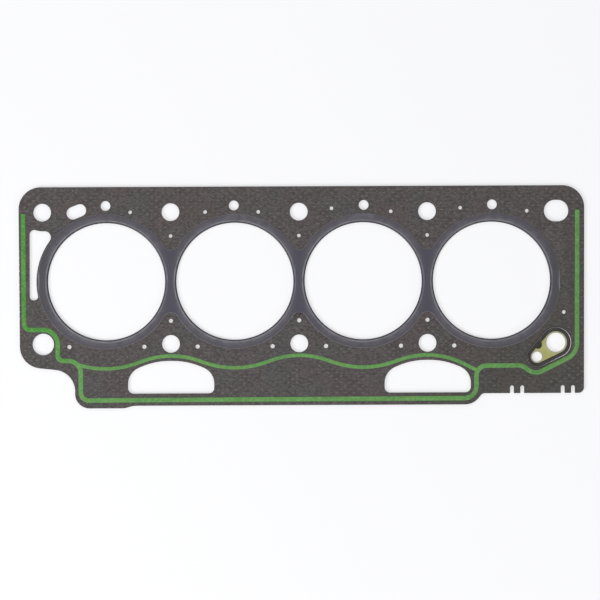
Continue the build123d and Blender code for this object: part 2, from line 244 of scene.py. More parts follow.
@dataclass(frozen=True)
class CalenderedFibreFacing(Finish):
    """Beater-add fibre sheet rolled onto steel: dull, brownish dark grey, finely mottled."""

    deep: str = "#474242"
    pale: str = "#645F5E"
    warm: str = "#5C4E4A"
    cool: str = "#4F5455"
    speck: str = "#8F8A87"
    # darker colour towards the lower-right corner
    corner_dark: str = "#3C3F32"
    # painted highlight on the tops of the tang marks
    painted_highlight: str = "#878280"
    felt_mm: tuple[float, float, float] = (1.7, 1.0, 1.0)
    cloud_mm: float = 12.0
    hue_mm: float = 30.0
    grit_mm: float = 2.6
    felt_fade: Fade = Fade(0.34, 0.66)
    warm_fade: Fade = Fade(0.5, 0.65, 0.25)
    cool_fade: Fade = Fade(0.48, 0.32, 0.2)
    cloud_fade: Fade = Fade(0.45, 0.75, 0.35)
    grit_fade: Fade = Fade(0.16, 0.05, 0.55)
    corner_way: tuple[float, float, float] = (0.8, -0.6, 0.0)
    corner_mm: Fade = Fade(98.0, 145.0, 0.3)
    mark_mm: Fade = Fade(0.66, 0.74)
    mark_highlight_fade: Fade = Fade(0.4, 0.62, 0.4)
    gloss_fade: Fade = Fade(0.3, 0.7, 0.06, -0.08)
    relief_mm: float = 0.05
    relief_strength: float = 0.7

    def pattern(
        self, tree: bpy.types.NodeTree, place: bpy.types.NodeSocket
    ) -> dict[str, bpy.types.NodeSocket]:
        """Adds the mottle of felted fibres, drawn out along the rolling direction, and grit.

        Args:
            tree: Node tree of the material.
            place: Object coordinates, in metres.

        Returns:
            Colour, roughness and relief of the facing.
        """
        # real fibres are under 0.1 mm thick, so the felt is drawn ten times as coarse to show
        drawn = add_node(
            tree,
            "ShaderNodeMapping",
            {"Vector": place, "Scale": [scale_of(size) for size in self.felt_mm]},
        )[0]
        felt = add_node(
            tree, "ShaderNodeTexNoise", {"Vector": drawn, "Scale": 1.0, "Detail": 3.0}
        )[0]
        # clouds of denser pulp, and slow changes of hue
        cloud = add_node(
            tree,
            "ShaderNodeTexNoise",
            {"Vector": place, "Scale": scale_of(self.cloud_mm), "Detail": 2.0},
        )[0]
        hue = add_node(
            tree,
            "ShaderNodeTexNoise",
            {"Vector": place, "Scale": scale_of(self.hue_mm), "Detail": 1.0},
        )[0]
        # mineral grit, one pale grain every few millimetres
        grit = add_node(
            tree,
            "ShaderNodeTexVoronoi",
            {"Vector": place, "Scale": scale_of(self.grit_mm)},
            feature="F1",
        )[0]
        # the sheet is darker towards the lower-right corner, by the oil port
        along = add_node(
            tree, "ShaderNodeVectorMath", {0: place, 1: self.corner_way}, operation="DOT_PRODUCT"
        )["Value"]
        # painted highlight: the tops of the tang marks are painted paler than the sheet round
        # them, in patches
        height = self.height(tree, place)
        patches = add_node(tree, "ShaderNodeMapRange", self.mark_highlight_fade.of(cloud))[0]
        tops = {**self.mark_mm.of(height, MM), "To Max": patches}
        colour = self.layered(
            tree,
            self.deep,
            [
                (self.pale, add_node(tree, "ShaderNodeMapRange", self.felt_fade.of(felt))[0]),
                (self.warm, add_node(tree, "ShaderNodeMapRange", self.warm_fade.of(hue))[0]),
                (self.cool, add_node(tree, "ShaderNodeMapRange", self.cool_fade.of(hue))[0]),
                (self.deep, add_node(tree, "ShaderNodeMapRange", self.cloud_fade.of(cloud))[0]),
                (self.speck, add_node(tree, "ShaderNodeMapRange", self.grit_fade.of(grit))[0]),
                (self.corner_dark, add_node(tree, "ShaderNodeMapRange", self.corner_mm.of(along, MM))[0]),
                (self.painted_highlight, add_node(tree, "ShaderNodeMapRange", tops)[0]),
            ],
        )
        gloss = add_node(
            tree, "ShaderNodeMapRange", self.gloss_fade.raised(self.roughness).of(cloud)
        )[0]
        normal = add_node(
            tree,
            "ShaderNodeBump",
            {"Height": felt, "Distance": self.relief_mm * MM, "Strength": self.relief_strength},
        )[0]
        return {"Base Color": colour, "Roughness": gloss, "Normal": normal}


@dataclass(frozen=True)
class RolledFlangeSteel(Finish):
    """Cold-rolled steel with a thin anti-stick coat: blue-grey, satin, with a painted highlight
    along the crest.
    """

    base: str = "#706E74"
    dark: str = "#5A585F"
    outer: str = "#57545B"
    tinted: str = "#555461"
    plain: str = "#535256"
    # painted highlight along the crest
    painted_highlight: str = "#918F96"
    # painted shade on the nose of the fold
    shade: str = "#3A383D"
    # bare steel of the trimmed edge, painted paler as its highlight
    bare_edge_and_highlight: str = "#A5A3A9"
    bore_pitch_mm: float = 89.0
    coat_mm: float = 5.0
    highlight_mm: float = 6.0
    strip_mm: tuple[float, float] = (6.0, 0.2)
    coat_fade: Fade = Fade(0.35, 0.7)
    band_mm: Fade = Fade(43.2, 46.4, 0.8)
    bridge_mm: tuple[float, float] = (1.0, 9.0)
    bridge_share: float = 0.75
    bridge_reach_mm: float = 150.0
    crest_rise_mm: Fade = Fade(41.5, 41.8)
    crest_fall_mm: Fade = Fade(42.8, 42.2)
    crest_highlight_fade: Fade = Fade(0.35, 0.65, 0.95, 0.4)
    trim_mm: Fade = Fade(0.79, 0.74)
    nose_mm: Fade = Fade(41.6, 41.1)
    gloss_fade: Fade = Fade(0.3, 0.7, 0.08, -0.05)
    relief_mm: float = 0.004
    relief_strength: float = 0.5

    def pattern(
        self, tree: bpy.types.NodeTree, place: bpy.types.NodeSocket
    ) -> dict[str, bpy.types.NodeSocket]:
        """Adds the cloudy coat, bluer on the bridges, and a painted highlight line on the crest.

        Args:
            tree: Node tree of the material.
            place: Object coordinates, in metres.

        Returns:
            Colour, roughness and relief of the flange.
        """
        half_mm = self.bore_pitch_mm / 2
        axes = add_node(tree, "ShaderNodeSeparateXYZ", {0: place})
        # X is folded to the width of one bore, so one pattern serves all four
        folded = add_node(
            tree,
            "ShaderNodeMath",
            {0: axes["X"], 1: self.bore_pitch_mm * MM, 2: 0.0},
            operation="WRAP",
        )[0]
        across = add_node(
            tree, "ShaderNodeMath", {0: folded, 1: half_mm * MM}, operation="SUBTRACT"
        )[0]
        spoke = add_node(tree, "ShaderNodeCombineXYZ", {"X": across, "Y": axes["Y"]})[0]
        radius = add_node(tree, "ShaderNodeVectorMath", {0: spoke}, operation="LENGTH")["Value"]
        # the coat clouds over a few millimetres, and is darker on the outer part of the band
        cloud = add_node(
            tree,
            "ShaderNodeTexNoise",
            {"Vector": place, "Scale": scale_of(self.coat_mm), "Detail": 4.0},
        )[0]
        # the three bridges take the coat evenly, with a blue cast, and the ends without it
        near = Fade(half_mm - self.bridge_mm[1], half_mm - self.bridge_mm[0], self.bridge_share)
        sideways = add_node(tree, "ShaderNodeMath", {0: across}, operation="ABSOLUTE")[0]
        near_bridge = add_node(
            tree,
            "ShaderNodeMapRange",
            near.of(sideways, MM),
            interpolation_type="SMOOTHSTEP",
        )[0]
        from_middle = add_node(tree, "ShaderNodeMath", {0: axes["X"]}, operation="ABSOLUTE")[0]
        inner = add_node(
            tree,
            "ShaderNodeMath",
            {0: from_middle, 1: self.bridge_reach_mm * MM},
            operation="LESS_THAN",
        )[0]
        cast = self.layered(tree, self.plain, [(self.tinted, inner)])
        # painted highlight: the crest is painted paler in stretches of a few millimetres
        highlight_noise = add_node(
            tree,
            "ShaderNodeTexNoise",
            {"Vector": place, "Scale": scale_of(self.highlight_mm), "Detail": 2.0},
        )[0]
        rise = add_node(tree, "ShaderNodeMapRange", self.crest_rise_mm.of(radius, MM))[0]
        fall = add_node(tree, "ShaderNodeMapRange", self.crest_fall_mm.of(radius, MM))[0]
        line = add_node(tree, "ShaderNodeMath", {0: rise, 1: fall}, operation="MULTIPLY")[0]
        lighter_tone = add_node(tree, "ShaderNodeMapRange", self.crest_highlight_fade.of(highlight_noise))[0]
        crest = add_node(tree, "ShaderNodeMath", {0: line, 1: lighter_tone}, operation="MULTIPLY")[0]
        # bare steel, painted paler to stand in for its highlight, shows where the outer edge was
        # trimmed, and the nose of the fold is painted in shade
        height = self.height(tree, place)
        trim = add_node(tree, "ShaderNodeMapRange", self.trim_mm.of(height, MM))[0]
        fold = add_node(tree, "ShaderNodeMapRange", self.nose_mm.of(radius, MM))[0]
        colour = self.layered(
            tree,
            self.base,
            [
                (self.dark, add_node(tree, "ShaderNodeMapRange", self.coat_fade.of(cloud))[0]),
                (self.outer, add_node(tree, "ShaderNodeMapRange", self.band_mm.of(radius, MM))[0]),
                (cast, near_bridge),
                (self.painted_highlight, crest),
                (self.bare_edge_and_highlight, trim),
                (self.shade, fold),
            ],
        )
        gloss = add_node(
            tree, "ShaderNodeMapRange", self.gloss_fade.raised(self.roughness).of(cloud)
        )[0]
        # rolling marks lie along the strip, a fifth of a millimetre apart
        strip = add_node(
            tree,
            "ShaderNodeMapping",
            {"Vector": place, "Scale": (*[scale_of(size) for size in self.strip_mm], 1.0)},
        )[0]
        rolled = add_node(
            tree, "ShaderNodeTexNoise", {"Vector": strip, "Scale": 1.0, "Detail": 2.0}
        )[0]
        normal = add_node(
            tree,
            "ShaderNodeBump",
            {"Height": rolled, "Distance": self.relief_mm * MM, "Strength": self.relief_strength},
        )[0]
        return {"Base Color": colour, "Roughness": gloss, "Normal": normal}


@dataclass(frozen=True)
class ColdRolledSteel(Finish):
    """Bare cold-rolled steel sheet, seen only as a bright line in the punched edges."""

    base: str = "#8A8A88"
    dark: str = "#6C6B69"
    shear_mm: tuple[float, float, float] = (0.15, 0.15, 2.0)
    relief_mm: float = 0.01
    relief_strength: float = 0.6

    def pattern(
        self, tree: bpy.types.NodeTree, place: bpy.types.NodeSocket
    ) -> dict[str, bpy.types.NodeSocket]:
        """Adds the fine upright shear marks of the punch.

        Args:
            tree: Node tree of the material.
            place: Object coordinates, in metres.

        Returns:
            Colour and relief of the core.
        """
        upright = add_node(
            tree,
            "ShaderNodeMapping",
            {"Vector": place, "Scale": [scale_of(size) for size in self.shear_mm]},
        )[0]
        shear = add_node(
            tree, "ShaderNodeTexNoise", {"Vector": upright, "Scale": 1.0, "Detail": 2.0}
        )[0]
        colour = self.layered(tree, self.base, [(self.dark, shear)])
        normal = add_node(
            tree,
            "ShaderNodeBump",
            {"Height": shear, "Distance": self.relief_mm * MM, "Strength": self.relief_strength},
        )[0]
        return {"Base Color": colour, "Normal": normal}


@dataclass(frozen=True)
class ScreenPrintedSilicone(Finish):
    """Screen-printed silicone: satin green, darker towards its foot."""

    base: str = "#52963E"
    pale: str = "#6CA958"
    deep: str = "#478837"
    yellow: str = "#6C973C"
    # paler grey, mixed in a little from the timing end on
    lighter_tone: str = "#B3ABA3"
    foot: str = "#2C5533"
    run_mm: float = 25.0
    mesh_mm: float = 1.9
    tone_mm: float = 9.0
    run_fade: Fade = Fade(0.36, 0.6)
    tone_fade: Fade = Fade(0.52, 0.68, 0.4)
    mesh_fade: Fade = Fade(0.44, 0.68, 0.75)
    greyer_from_mm: Fade = Fade(-170.0, -152.0, 0.1)
    foot_mm: Fade = Fade(0.74, 0.665)
    relief_mm: float = 0.01
    relief_strength: float = 0.5

    def pattern(
        self, tree: bpy.types.NodeTree, place: bpy.types.NodeSocket
    ) -> dict[str, bpy.types.NodeSocket]:
        """Adds slow changes of the print's thickness, and a dark foot on both faces.

        Args:
            tree: Node tree of the material.
            place: Object coordinates, in metres.

        Returns:
            Colour and relief of the print.
        """
        axes = add_node(tree, "ShaderNodeSeparateXYZ", {0: place})
        height = self.height(tree, place)
        # the squeegee leaves long stretches a little thinner
        run = add_node(
            tree,
            "ShaderNodeTexNoise",
            {"Vector": place, "Scale": scale_of(self.run_mm), "Detail": 2.0},
        )[0]
        # the mesh of the screen, drawn coarser than its real 0.2 mm so that it shows
        mesh = add_node(
            tree,
            "ShaderNodeTexNoise",
            {"Vector": place, "Scale": scale_of(self.mesh_mm), "Detail": 3.0},
        )[0]
        # the silicone yellows in places
        tone = add_node(
            tree,
            "ShaderNodeTexNoise",
            {"Vector": place, "Scale": scale_of(self.tone_mm), "Detail": 2.0},
        )[0]
        # from the timing end on, the print turns a little paler and greyer
        past_start = add_node(
            tree, "ShaderNodeMapRange", self.greyer_from_mm.of(axes["X"], MM)
        )[0]
        colour = self.layered(
            tree,
            self.deep,
            [
                (self.base, add_node(tree, "ShaderNodeMapRange", self.run_fade.of(run))[0]),
                (self.yellow, add_node(tree, "ShaderNodeMapRange", self.tone_fade.of(tone))[0]),
                (self.pale, add_node(tree, "ShaderNodeMapRange", self.mesh_fade.of(mesh))[0]),
                (self.lighter_tone, past_start),
                (self.foot, add_node(tree, "ShaderNodeMapRange", self.foot_mm.of(height, MM))[0]),
            ],
        )
        normal = add_node(
            tree,
            "ShaderNodeBump",
            {"Height": mesh, "Distance": self.relief_mm * MM, "Strength": self.relief_strength},
        )[0]
        return {"Base Color": colour, "Normal": normal}


@dataclass(frozen=True)
class PassivatedSteel(Finish):
    """Zinc-plated steel passivated yellow: olive, cloudy, greyer on the coined rims."""

    base: str = "#C0BE78"
    pale: str = "#C7C492"
    deep: str = "#B2AF65"
    rim: str = "#B9B7A2"
    film_mm: float = 3.5
    grain_mm: float = 0.4
    thick_fade: Fade = Fade(0.32, 0.5)
    thin_fade: Fade = Fade(0.52, 0.72, 0.7)
    rim_mm: Fade = Fade(0.52, 0.58)
    relief_mm: float = 0.008
    relief_strength: float = 0.5

    def pattern(
        self, tree: bpy.types.NodeTree, place: bpy.types.NodeSocket
    ) -> dict[str, bpy.types.NodeSocket]:
        """Adds clouds of the yellow film, and a paler, greyer colour on the raised rims.

        Args:
            tree: Node tree of the material.
            place: Object coordinates, in metres.

        Returns:
            Colour and relief of the plate.
        """
        height = self.height(tree, place)
        # the film clouds in patches of a few millimetres as it drains
        cloud = add_node(
            tree,
            "ShaderNodeTexNoise",
            {"Vector": place, "Scale": scale_of(self.film_mm), "Detail": 3.0},
        )[0]
        colour = self.layered(
            tree,
            self.deep,
            [
                (self.base, add_node(tree, "ShaderNodeMapRange", self.thick_fade.of(cloud))[0]),
                (self.pale, add_node(tree, "ShaderNodeMapRange", self.thin_fade.of(cloud))[0]),
                (self.rim, add_node(tree, "ShaderNodeMapRange", self.rim_mm.of(height, MM))[0]),
            ],
        )
        # the grain of the plating
        fine = add_node(
            tree,
            "ShaderNodeTexNoise",
            {"Vector": place, "Scale": scale_of(self.grain_mm), "Detail": 3.0},
        )[0]
        normal = add_node(
            tree,
            "ShaderNodeBump",
            {"Height": fine, "Distance": self.relief_mm * MM, "Strength": self.relief_strength},
        )[0]
        return {"Base Color": colour, "Normal": normal}


@dataclass(frozen=True)
class MouldedElastomer(Finish):
    """Black fluoroelastomer moulded round the plate: smooth, with a painted highlight along its
    lips.
    """

    base: str = "#353230"
    bloom: str = "#4C4845"
    # painted highlight on the tops of the lips
    painted_highlight: str = "#CECCCF"
    bloom_mm: float = 4.0
    skin_mm: float = 0.3
    bloom_fade: Fade = Fade(0.4, 0.8, 0.6)
    lip_mm: Fade = Fade(0.775, 0.79)
    outward: tuple[float, float, float] = (0.95, -0.3, 0.0)
    highlight_mm: Fade = Fade(179.0, 191.0, least=0.14)
    relief_mm: float = 0.005
    relief_strength: float = 0.4

    def pattern(
        self, tree: bpy.types.NodeTree, place: bpy.types.NodeSocket
    ) -> dict[str, bpy.types.NodeSocket]:
        """Adds a grey bloom in soft patches over the black, and a painted highlight on the tops of
        the lips.

        Args:
            tree: Node tree of the material.
            place: Object coordinates, in metres.

        Returns:
            Colour and relief of the seal.
        """
        height = self.height(tree, place)
        cloud = add_node(
            tree,
            "ShaderNodeTexNoise",
            {"Vector": place, "Scale": scale_of(self.bloom_mm), "Detail": 3.0},
        )[0]
        top = add_node(tree, "ShaderNodeMapRange", self.lip_mm.of(height, MM))[0]
        # painted highlight on the lips, strongest on the side towards the corner of the sheet
        distance = add_node(
            tree, "ShaderNodeVectorMath", {0: place, 1: self.outward}, operation="DOT_PRODUCT"
        )["Value"]
        toward_corner = add_node(tree, "ShaderNodeMapRange", self.highlight_mm.of(distance, MM))[0]
        lip_highlight = add_node(tree, "ShaderNodeMath", {0: top, 1: toward_corner}, operation="MULTIPLY")[0]
        colour = self.layered(
            tree,
            self.base,
            [
                (self.bloom, add_node(tree, "ShaderNodeMapRange", self.bloom_fade.of(cloud))[0]),
                (self.painted_highlight, lip_highlight),
            ],
        )
        # the skin of the mould, a third of a millimetre in grain
        skin = add_node(
            tree,
            "ShaderNodeTexNoise",
            {"Vector": place, "Scale": scale_of(self.skin_mm), "Detail": 3.0},
        )[0]
        normal = add_node(
            tree,
            "ShaderNodeBump",
            {"Height": skin, "Distance": self.relief_mm * MM, "Strength": self.relief_strength},
        )[0]
        return {"Base Color": colour, "Normal": normal}


# fibre and rubber rolled flat: it hardly shines, and the lamps only lift its mottle
FACING = CalenderedFibreFacing("calendered_fibre_facing", roughness=0.72, specular=0.25)
# a thin dark coat on rolled steel: satin, with broad soft lights and a painted highlight on the
# crest
FLANGE = RolledFlangeSteel("rolled_flange_steel", roughness=0.45, metallic=0.35)
# bare punched steel: a thin bright line in every cut edge
CORE = ColdRolledSteel("cold_rolled_steel", roughness=0.4, metallic=1.0)
# silicone cured in the open: satin, with a soft light along the top of its dome
PRINT = ScreenPrintedSilicone("screen_printed_silicone", roughness=0.5, specular=0.4)
# a yellow film over zinc: half metal, half stain, so that it shines but keeps its olive
PLATE = PassivatedSteel("yellow_passivated_steel", roughness=0.42, metallic=0.3)
# elastomer from a polished mould: near black, with narrow lights along its lips
SEAL = MouldedElastomer("moulded_elastomer", roughness=0.28)


# Modelling helpers


def only(piece: bpy.types.Object) -> None:
    """Makes a piece the only one that is selected, and the active one.

    Args:
        piece: Piece to select.
    """
    bpy.ops.object.select_all(action="DESELECT")
    piece.select_set(True)
    bpy.context.view_layer.objects.active = piece


def merged_copy(node: str, name: str) -> bpy.types.Object:
    """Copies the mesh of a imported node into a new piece, its flat faces made whole.

    Args:
        node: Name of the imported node.
        name: Name of the new piece.

    Returns:
        The new piece, with its mesh in place.
    """
    piece = bpy.data.objects.new(name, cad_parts[node].data.copy())
    piece.data.materials.clear()
    bpy.context.scene.collection.objects.link(piece)
    only(piece)
    bpy.ops.object.mode_set(mode="EDIT")
    bpy.ops.mesh.select_all(action="SELECT")
    bpy.ops.mesh.remove_doubles(threshold=TOLERANCE_MM * MM)
    bpy.ops.mesh.dissolve_limited(angle_limit=math.radians(FLAT_DEGREES))
    bpy.ops.object.mode_set(mode="OBJECT")
    return piece


def apply_modifier(piece: bpy.types.Object, kind: str, **settings: object) -> None:
    """Adds a modifier to a piece and applies it.

    Args:
        piece: Piece to change.
        kind: Blender's type name of the modifier.
        settings: Attributes of the modifier.
    """
    only(piece)
    modifier = piece.modifiers.new(kind.lower(), kind)
    for key, value in settings.items():
        setattr(modifier, key, value)
    bpy.ops.object.modifier_apply(modifier=modifier.name)


def smooth(piece: bpy.types.Object, degrees: float) -> None:
    """Shades a piece smooth, but for edges sharper than an angle."""
    only(piece)
    bpy.ops.object.shade_smooth_by_angle(angle=math.radians(degrees))


def dress(piece: bpy.types.Object, finish: Finish, slot: Slot, *nodes: str) -> None:
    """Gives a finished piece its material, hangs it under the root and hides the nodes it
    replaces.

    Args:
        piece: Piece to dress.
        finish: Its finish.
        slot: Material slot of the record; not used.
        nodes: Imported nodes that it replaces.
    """
    piece.data.materials.clear()
    piece.data.materials.append(finish.build())
    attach(piece, "root")
    if nodes:
        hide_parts(*nodes)
    LOG.info("%s: %d faces", piece.name, len(piece.data.polygons))


# Sub-assemblies


@dataclass
class FacingSheet:
    """Soft facing of one side, with the marks that the core's tangs press through it."""

    side: Side
    bead: bpy.types.Object
    face_mm: float = 0.65
    mark_pitch_x_mm: float = 6.08
    mark_pitch_y_mm: float = 4.7
    mark_length_mm: float = 2.3
    mark_width_mm: float = 1.25
    mark_rise_mm: float = 0.1
    mark_sides: int = 12
    mark_steps: tuple[tuple[float, float], ...] = ((0.17, 0.65), (0.15, 0.35))
    mark_start_mm: tuple[float, float] = (-193.0, -87.0)
    mark_counts: tuple[int, int] = (65, 33)
    # a mark is kept where a probe from outside meets the bare sheet, and no bead over it
    probe_mm: float = 1.0
    probe_past_mm: float = 0.02
    bare_mm: float = 0.01
    shade_degrees: float = 35.0

    @property
    def upward(self) -> float:
        """1 where the free face looks up, -1 where it looks down."""
        return 1.0 if self.side is Side.HEAD else -1.0

    def build(self) -> bpy.types.Object:
        """Makes the facing.

        Returns:
            The finished piece.
        """
        node = f"{self.side.value}_facing"
        sheet = merged_copy(node, f"{self.side.value}_facing_sheet")
        marks = self.marks(sheet)
        only(sheet)
        marks.select_set(True)
        bpy.ops.object.join()
        smooth(sheet, self.shade_degrees)
        dress(sheet, FACING, Slot.FACING, node)
        return sheet

    def one_mark(self) -> bpy.types.Object:
        """Models one mark: a low oval swelling with a soft foot.

        Returns:
            The mark, at the first place of its rows.
        """
        x, y = self.mark_start_mm
        z = (MIDDLE_MM + self.upward * self.face_mm) * MM
        # a disc 1 mm across, drawn out to the length and the width of a mark
        bpy.ops.mesh.primitive_circle_add(
            vertices=self.mark_sides,
            radius=0.5 * MM,
            fill_type="NGON",
            location=(x * MM, y * MM, z),
        )
        mark = bpy.context.object
        mark.name = f"{self.side.value}_tang_marks"
        bpy.ops.object.mode_set(mode="EDIT")
        bpy.ops.transform.resize(value=(self.mark_length_mm, self.mark_width_mm, 1.0))
        # each step goes in by a share of the width, and up by a share of the height
        for inset, rise in self.mark_steps:
            bpy.ops.mesh.inset(thickness=inset * self.mark_width_mm * MM, depth=0.0)
            lift = (0.0, 0.0, self.upward * rise * self.mark_rise_mm * MM)
            bpy.ops.transform.translate(value=lift)
        bpy.ops.object.mode_set(mode="OBJECT")
        only(mark)
        bpy.ops.object.transform_apply(location=True, rotation=True, scale=True)
        return mark

    def marks(self, sheet: bpy.types.Object) -> bpy.types.Object:
        """Lays the marks out in staggered rows and keeps those that lie bare on the sheet.

        Args:
            sheet: Facing that the marks lie on.

        Returns:
            All the marks as one piece.
        """
        marks = self.one_mark()
        size = len(marks.data.vertices)
        step = (self.mark_pitch_x_mm * MM, self.mark_pitch_y_mm * MM)
        for count, offset in (
            (2, (step[0] / 2, step[1] / 2, 0.0)),
            (self.mark_counts[0], (step[0], 0.0, 0.0)),
            (self.mark_counts[1], (0.0, step[1], 0.0)),
        ):
            apply_modifier(
                marks,
                "ARRAY",
                count=count,
                use_relative_offset=False,
                use_constant_offset=True,
                constant_offset_displace=offset,
            )
        points = [v.co.copy() for v in marks.data.vertices]
        inward = Vector((0.0, 0.0, -self.upward))
        keep = [False] * len(points)
        level = (MIDDLE_MM + self.upward * self.face_mm) * MM
        for first in range(0, len(points), size):
            island = points[first : first + size]
            rim = [point for point in island if abs(point.z - level) < TOLERANCE_MM * MM]
            bare = all(
                self.met(sheet, point, inward, self.bare_mm)
                and not self.met(self.bead, point, inward, self.probe_mm)
                for point in rim
            )
            keep[first : first + size] = [bare] * size
        mesh = bmesh.new()
        mesh.from_mesh(marks.data)
        mesh.verts.ensure_lookup_table()
        gone = [v for v, kept in zip(mesh.verts, keep) if not kept]
        bmesh.ops.delete(mesh, geom=gone, context="VERTS")
        if self.upward < 0:
            bmesh.ops.reverse_faces(mesh, faces=mesh.faces)
        mesh.to_mesh(marks.data)
        mesh.free()
        return marks

    def met(
        self, piece: bpy.types.Object, point: Vector, inward: Vector, reach_mm: float
    ) -> bool:
        """Tells whether a piece is met close to a point, going in from outside.

        Args:
            piece: Piece that is tested.
            point: Point on the level of the free face.
            inward: Direction into the sheet.
            reach_mm: How far from the point the piece may be met.

        Returns:
            True where the piece is met within reach.
        """
        outside = point - inward * self.probe_mm * MM
        length = (self.probe_mm + self.probe_past_mm) * MM
        hit, place, _, _ = piece.ray_cast(outside, inward, distance=length)
        return hit and abs(place.z - point.z) < reach_mm * MM


@dataclass
class BoreFlange:
    """Steel flange that is folded round the four bores."""

    face_mm: float = 0.8
    burr_mm: float = 0.17
    sharp_degrees: float = 60.0
    shade_degrees: float = 32.0
    slack_mm: float = 0.005

    def build(self) -> bpy.types.Object:
        """Makes the flange, its trimmed edge rolled down and its fold shaded round.

        Returns:
            The finished piece.
        """
        flange = merged_copy("bore_flange", "bore_flange_pressing")
        only(flange)
        bpy.ops.object.mode_set(mode="EDIT")
        bpy.ops.mesh.select_mode(type="EDGE")
        bpy.ops.mesh.select_all(action="DESELECT")
        mesh = bmesh.from_edit_mesh(flange.data)
        for edge in mesh.edges:
            levels = [abs(vert.co.z / MM - MIDDLE_MM) - self.face_mm for vert in edge.verts]
            on_face = all(abs(level) < self.slack_mm for level in levels)
            if on_face and edge.calc_face_angle(0.0) > math.radians(self.sharp_degrees):
                edge.select_set(True)
        bmesh.update_edit_mesh(flange.data)
        bpy.ops.mesh.bevel(offset=self.burr_mm * MM, segments=1)
        bpy.ops.object.mode_set(mode="OBJECT")
        smooth(flange, self.shade_degrees)
        dress(flange, FLANGE, Slot.FLANGE, "bore_flange")
        return flange


@dataclass(frozen=True)
class Corner:
    """Corner of a printed line: its place and the radius of its bend, in millimetres."""

    x: float
    y: float
    r: float


@dataclass
class PrintedLine:
    """One screen-printed line: a domed ridge along straight runs and round bends."""

    name: str
    width_mm: float
    start: tuple[float, float]
    corners: Sequence[Corner]
    end: tuple[float, float]
    face_mm: float = 1.45
    rise_mm: float = 0.15
    sides: int = 20
    bend_step_degrees: float = 3.0
    merge_mm: float = 0.004
    foot_slack_mm: float = 0.0001
    end_slack_mm: float = 0.002
    shade_degrees: float = 60.0

    def build(self) -> bpy.types.Object:
        """Draws the section along the whole route.

        Returns:
            The ridge, without a material.
        """
        points = [Vector(self.start), *[Vector((c.x, c.y)) for c in self.corners]]
        points.append(Vector(self.end))
        heading = (points[1] - points[0]).normalized()
        ridge = self.section(points[0], heading)
        place = points[0]
        for corner, before, here, after in zip(self.corners, points, points[1:], points[2:]):
            into = (here - before).normalized()
            out = (after - here).normalized()
            turn = -into.angle_signed(out)
            run = abs(math.tan(turn / 2)) * corner.r
            self.extrude_to(here - into * run - place)
            side = Vector((-into.y, into.x)) * math.copysign(corner.r, turn)
            self.bend(here - into * run + side, turn)
            place = here + out * run
        self.extrude_to(points[-1] - place)
        last = (points[-1] - points[-2]).normalized()
        self.close_end(ridge, points[-1], last)
        self.close_end(ridge, points[0], -heading)
        bpy.ops.mesh.select_all(action="SELECT")
        bpy.ops.mesh.remove_doubles(threshold=self.merge_mm * MM)
        bpy.ops.mesh.normals_make_consistent(inside=False)
        bpy.ops.object.mode_set(mode="OBJECT")
        smooth(ridge, self.shade_degrees)
        return ridge

    def section(self, place: Vector, heading: Vector) -> bpy.types.Object:
        """Makes the domed section at the start of the route, and enters edit mode.

        Args:
            place: Start of the route, in millimetres.
            heading: Direction in which the route sets out.

        Returns:
            The new piece, with its section selected.
        """
        bpy.ops.object.select_all(action="DESELECT")
        bpy.ops.mesh.primitive_circle_add(
            vertices=self.sides,
            radius=self.width_mm / 2 * MM,
            fill_type="NOTHING",
            location=(place.x * MM, place.y * MM, self.face_mm * MM),
            rotation=(math.pi / 2, 0.0, math.atan2(heading.y, heading.x) + math.pi / 2),
        )
        ridge = bpy.context.object
        ridge.name = self.name
        bpy.ops.object.transform_apply(location=True, rotation=True, scale=True)
        bpy.ops.object.mode_set(mode="EDIT")
        bpy.ops.mesh.select_all(action="SELECT")
        centre = (place.x * MM, place.y * MM, self.face_mm * MM)
        flat = (1.0, 1.0, 2 * self.rise_mm / self.width_mm)
        bpy.ops.transform.resize(value=flat, center_override=centre)
        bpy.ops.mesh.bisect(plane_co=centre, plane_no=(0, 0, 1), clear_inner=True)
        bpy.ops.mesh.select_all(action="DESELECT")
        mesh = bmesh.from_edit_mesh(ridge.data)
        for vert in mesh.verts:
            if abs(vert.co.z - centre[2]) < self.foot_slack_mm * MM:
                vert.select_set(True)
        mesh.select_flush_mode()
        bmesh.update_edit_mesh(ridge.data)
        # the flat foot is one edge across, with a point in its middle
        bpy.ops.mesh.edge_face_add()
        bpy.ops.mesh.subdivide(number_cuts=1)
        bpy.ops.mesh.select_all(action="SELECT")
        return ridge

    def extrude_to(self, step: Vector) -> None:
        """Extrudes the selected section along a straight run.

        Args:
            step: The run, in millimetres.
        """
        if step.length < TOLERANCE_MM:
            return
        move = {"value": (step.x * MM, step.y * MM, 0.0)}
        bpy.ops.mesh.extrude_region_move(TRANSFORM_OT_translate=move)

    def bend(self, centre: Vector, turn: float) -> None:
        """Spins the selected section round the centre of a bend.

        Args:
            centre: Centre of the bend, in millimetres.
            turn: Angle of the bend in radians, positive to the left.
        """
        steps = max(2, round(abs(math.degrees(turn)) / self.bend_step_degrees))
        bpy.ops.mesh.spin(
            steps=steps,
            angle=-turn,
            center=(centre.x * MM, centre.y * MM, self.face_mm * MM),
            axis=(0.0, 0.0, 1.0),
        )

    def close_end(self, ridge: bpy.types.Object, place: Vector, outward: Vector) -> None:
        """Closes one end of the ridge with a flat face.

        Args:
            ridge: Piece in edit mode.
            place: End of the route, in millimetres.
            outward: Direction out of the ridge at that end.
        """
        bpy.ops.mesh.select_all(action="DESELECT")
        mesh = bmesh.from_edit_mesh(ridge.data)
        for vert in mesh.verts:
            offset = Vector((vert.co.x / MM, vert.co.y / MM)) - place
            at_end = abs(offset.dot(outward)) < self.end_slack_mm
            if at_end and offset.length < self.width_mm:
                vert.select_set(True)
        mesh.select_flush_mode()
        bmesh.update_edit_mesh(ridge.data)
        bpy.ops.mesh.edge_face_add()


